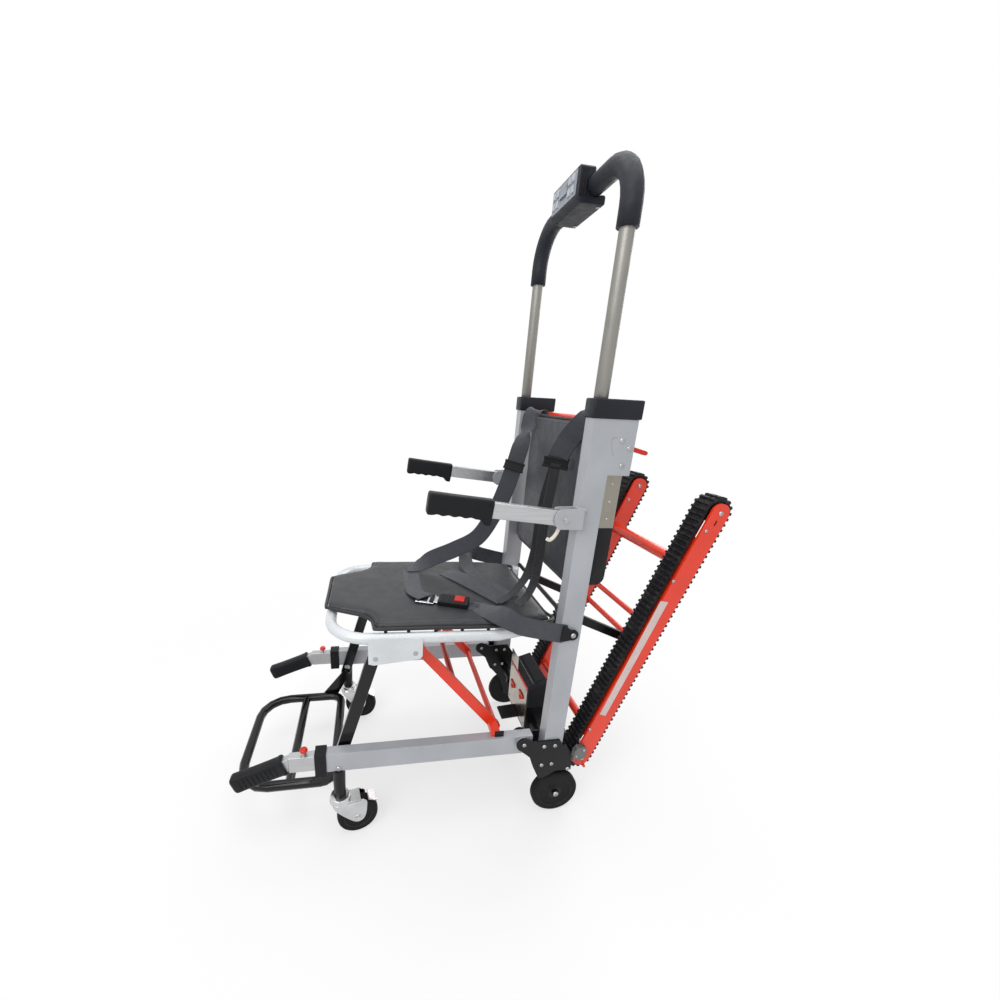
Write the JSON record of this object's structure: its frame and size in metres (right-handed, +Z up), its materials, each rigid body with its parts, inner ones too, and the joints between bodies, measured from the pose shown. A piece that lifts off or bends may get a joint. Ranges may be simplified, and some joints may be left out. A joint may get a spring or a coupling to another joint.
{
  "type": "stair climbing chair",
  "caption": "Folding transport chair with a powered crawler track behind the back frame, swivelling castors, footrest, telescoping handles and a harness.",
  "frame": {"origin": "middle of the footprint's bounding box, on the floor", "axes": "+Z up, the chair faces -Y with the crawler track towards +Y, +X to the occupant's left"},
  "size_m": [0.4816, 1.1731, 1.4801],
  "materials": {
    "silver_paint": "satin silver",
    "aluminium": "satin anodised",
    "zinc_plate": "bright zinc",
    "steel": "brushed",
    "black_paint": "semi gloss",
    "black_plastic": "matt",
    "grey_plastic": "matt",
    "rubber": "matt",
    "tyre": "matt",
    "foam": "closed-cell foam",
    "red_paint": "gloss",
    "red_plastic": "gloss",
    "cloth": "coated cloth",
    "webbing": "woven webbing"
  },
  "bodies": {
    "chair": {"upright_left": "silver_paint", "upright_right": "silver_paint", "cap_left": "black_plastic", "cap_right": "black_plastic", "bracket_left": "black_paint", "bracket_right": "black_paint", "top_tube": "red_paint", "back_panel": "cloth", "drive_housing": "black_paint", "battery_pack": "black_plastic", "lock_cover_left": "black_plastic", "lock_cover_right": "black_plastic", "shoulder_belt_left": "webbing", "shoulder_belt_right": "webbing"},
    "push_handle": {"handle_tube": "aluminium", "handle_foam": "foam", "control_box": "black_plastic"},
    "drive_switch": {"rocker_switch": "grey_plastic"},
    "seat": {"seat_frame": "aluminium", "seat_pad": "cloth", "lap_belt_left": "webbing", "lap_belt_right": "webbing", "belt_buckle": "zinc_plate"},
    "buckle_press": {"buckle_button": "red_plastic"},
    "front_legs": {"front_leg_left": "black_paint", "front_leg_right": "black_paint"},
    "footrest_fold": {"footrest": "black_paint"},
    "strut": {"fold_strut": "red_paint"},
    "base_rails": {"rail_left": "silver_paint", "rail_right": "silver_paint", "collar_left": "black_plastic", "collar_right": "black_plastic"},
    "track": {"track_frame": "red_paint", "track_belt_left": "rubber", "track_belt_right": "rubber"},
    "drive": {"drive_axle": "steel"},
    "stay": {"track_stay": "black_paint"},
    "pedal": {"foot_pedal": "rubber"},
    "handle_lock_left": {"handle_lever_left": "red_plastic"},
    "armrest_left": {"arm_bar_left": "aluminium", "arm_grip_left": "rubber"},
    "carry_left": {"carry_tube_left": "aluminium", "carry_grip_left": "rubber"},
    "carry_lock_left": {"lock_knob_left": "red_plastic"},
    "castor_left": {"castor_fork_left": "zinc_plate"},
    "castor_roll_left": {"castor_wheel_left": "tyre"},
    "castor_stop_left": {"castor_brake_left": "zinc_plate"},
    "rear_roll_left": {"rear_wheel_left": "tyre"},
    "idler_roll_left": {"idler_left": "black_plastic"},
    "handle_lock_right": {"handle_lever_right": "red_plastic"},
    "armrest_right": {"arm_bar_right": "aluminium", "arm_grip_right": "rubber"},
    "carry_right": {"carry_tube_right": "aluminium", "carry_grip_right": "rubber"},
    "carry_lock_right": {"lock_knob_right": "red_plastic"},
    "castor_right": {"castor_fork_right": "zinc_plate"},
    "castor_roll_right": {"castor_wheel_right": "tyre"},
    "castor_stop_right": {"castor_brake_right": "zinc_plate"},
    "rear_roll_right": {"rear_wheel_right": "tyre"},
    "idler_roll_right": {"idler_right": "black_plastic"}
  },
  "joints": [
    {"name": "handle_height", "type": "slide", "parent": "chair", "child": "push_handle", "axis": [0, 0.0192, 0.9998], "range_m": [-0.25, 0]},
    {"name": "drive_switch_rock", "type": "hinge", "parent": "push_handle", "child": "drive_switch", "pos_m": [0, 0.17254, 1.45516], "axis": [1, 0, 0], "range_deg": [-10, 10], "stiffness_Nm_per_rad": 0.2},
    {"name": "seat_fold", "type": "hinge", "parent": "chair", "child": "seat", "pos_m": [0, 0.20691, 0.521], "axis": [-1, 0, 0], "range_deg": [0, 48], "deforming": ["shoulder_belt_left", "shoulder_belt_right"]},
    {"name": "buckle_release", "type": "slide", "parent": "seat", "child": "buckle_press", "axis": [0, -0.0279, -0.9996], "range_m": [0, 0.0025], "stiffness_N_per_m": 400},
    {"name": "leg_fold", "type": "hinge", "parent": "seat", "child": "front_legs", "pos_m": [0, -0.23509, 0.491], "axis": [-1, 0, 0], "range_deg": [-48, 0]},
    {"name": "footrest_tilt", "type": "hinge", "parent": "front_legs", "child": "footrest_fold", "pos_m": [0, -0.32901, 0.1879], "axis": [-1, 0, 0], "range_deg": [0, 75]},
    {"name": "strut_fold", "type": "hinge", "parent": "seat", "child": "strut", "pos_m": [0, -0.14809, 0.5], "axis": [-1, 0, 0], "range_deg": [-32.1, 0]},
    {"name": "rail_fold", "type": "hinge", "parent": "chair", "child": "base_rails", "pos_m": [0, 0.11891, 0.237], "axis": [-1, 0, 0], "range_deg": [0, 48]},
    {"name": "track_fold", "type": "hinge", "parent": "chair", "child": "track", "pos_m": [0, 0.30191, 0.132], "axis": [1, 0, 0], "range_deg": [0, 20]},
    {"name": "drive_spin", "type": "hinge", "parent": "chair", "child": "drive", "pos_m": [0, 0.30191, 0.132], "axis": [1, 0, 0], "continuous": true},
    {"name": "stay_fold", "type": "hinge", "parent": "chair", "child": "stay", "pos_m": [0, 0.22591, 0.534], "axis": [-1, 0, 0], "range_deg": [0, 45]},
    {"name": "pedal_press", "type": "hinge", "parent": "chair", "child": "pedal", "pos_m": [0, 0.17961, 0.14], "axis": [1, 0, 0], "range_deg": [0, 15], "stiffness_Nm_per_rad": 1, "springref_deg": -11.46},
    {"name": "handle_lock_left_turn", "type": "hinge", "parent": "chair", "child": "handle_lock_left", "pos_m": [0.211, 0.28594, 0.94889], "axis": [1, 0, 0], "range_deg": [-20, 20], "stiffness_Nm_per_rad": 0.5},
    {"name": "armrest_left_lift", "type": "hinge", "parent": "chair", "child": "armrest_left", "pos_m": [0.2275, 0.14891, 0.809], "axis": [-1, 0, 0], "range_deg": [0, 85]},
    {"name": "carry_left_pull", "type": "slide", "parent": "base_rails", "child": "carry_left", "axis": [0, -1, 0], "range_m": [-0.012, 0.15]},
    {"name": "carry_lock_left_lift", "type": "slide", "parent": "carry_left", "child": "carry_lock_left", "axis": [0, 0, 1], "range_m": [0, 0.006], "stiffness_N_per_m": 400},
    {"name": "castor_left_swivel", "type": "hinge", "parent": "base_rails", "child": "castor_left", "pos_m": [0.2075, -0.32409, 0.119], "axis": [0, 0, 1], "continuous": true},
    {"name": "castor_left_spin", "type": "hinge", "parent": "castor_left", "child": "castor_roll_left", "pos_m": [0.20055, -0.2847, 0.05], "axis": [0.9848, 0.1736, 0], "continuous": true},
    {"name": "castor_left_brake", "type": "hinge", "parent": "castor_left", "child": "castor_stop_left", "pos_m": [0.19613, -0.25959, 0.0972], "axis": [0.9848, 0.1736, 0], "range_deg": [0, 20]},
    {"name": "rear_wheel_left_spin", "type": "hinge", "parent": "chair", "child": "rear_roll_left", "pos_m": [0.2085, 0.22291, 0.0615], "axis": [1, 0, 0], "continuous": true},
    {"name": "idler_left_spin", "type": "hinge", "parent": "track", "child": "idler_roll_left", "pos_m": [0.15625, 0.54879, 0.80302], "axis": [1, 0, 0], "continuous": true},
    {"name": "handle_lock_right_turn", "type": "hinge", "parent": "chair", "child": "handle_lock_right", "pos_m": [-0.211, 0.28594, 0.94889], "axis": [1, 0, 0], "range_deg": [-20, 20], "stiffness_Nm_per_rad": 0.5},
    {"name": "armrest_right_lift", "type": "hinge", "parent": "chair", "child": "armrest_right", "pos_m": [-0.2275, 0.14891, 0.809], "axis": [-1, 0, 0], "range_deg": [0, 85]},
    {"name": "carry_right_pull", "type": "slide", "parent": "base_rails", "child": "carry_right", "axis": [0, -1, 0], "range_m": [-0.012, 0.15]},
    {"name": "carry_lock_right_lift", "type": "slide", "parent": "carry_right", "child": "carry_lock_right", "axis": [0, 0, 1], "range_m": [0, 0.006], "stiffness_N_per_m": 400},
    {"name": "castor_right_swivel", "type": "hinge", "parent": "base_rails", "child": "castor_right", "pos_m": [-0.2075, -0.32409, 0.119], "axis": [0, 0, 1], "continuous": true},
    {"name": "castor_right_spin", "type": "hinge", "parent": "castor_right", "child": "castor_roll_right", "pos_m": [-0.20055, -0.2847, 0.05], "axis": [0.9848, -0.1736, 0], "continuous": true},
    {"name": "castor_right_brake", "type": "hinge", "parent": "castor_right", "child": "castor_stop_right", "pos_m": [-0.19613, -0.25959, 0.0972], "axis": [0.9848, -0.1736, 0], "range_deg": [0, 20]},
    {"name": "rear_wheel_right_spin", "type": "hinge", "parent": "chair", "child": "rear_roll_right", "pos_m": [-0.2085, 0.22291, 0.0615], "axis": [1, 0, 0], "continuous": true},
    {"name": "idler_right_spin", "type": "hinge", "parent": "track", "child": "idler_roll_right", "pos_m": [-0.15625, 0.54879, 0.80302], "axis": [1, 0, 0], "continuous": true}
  ],
  "couplings": [
    {"joint": "leg_fold", "follows": "seat_fold", "ratio": -1},
    {"joint": "rail_fold", "follows": "seat_fold", "ratio": 1},
    {"joint": "strut_fold", "follows": "seat_fold", "ratio": -0.667},
    {"joint": "stay_fold", "follows": "track_fold", "ratio": 2.23},
    {"joint": "idler_left_spin", "follows": "drive_spin", "ratio": 1},
    {"joint": "idler_right_spin", "follows": "drive_spin", "ratio": 1}
  ]
}
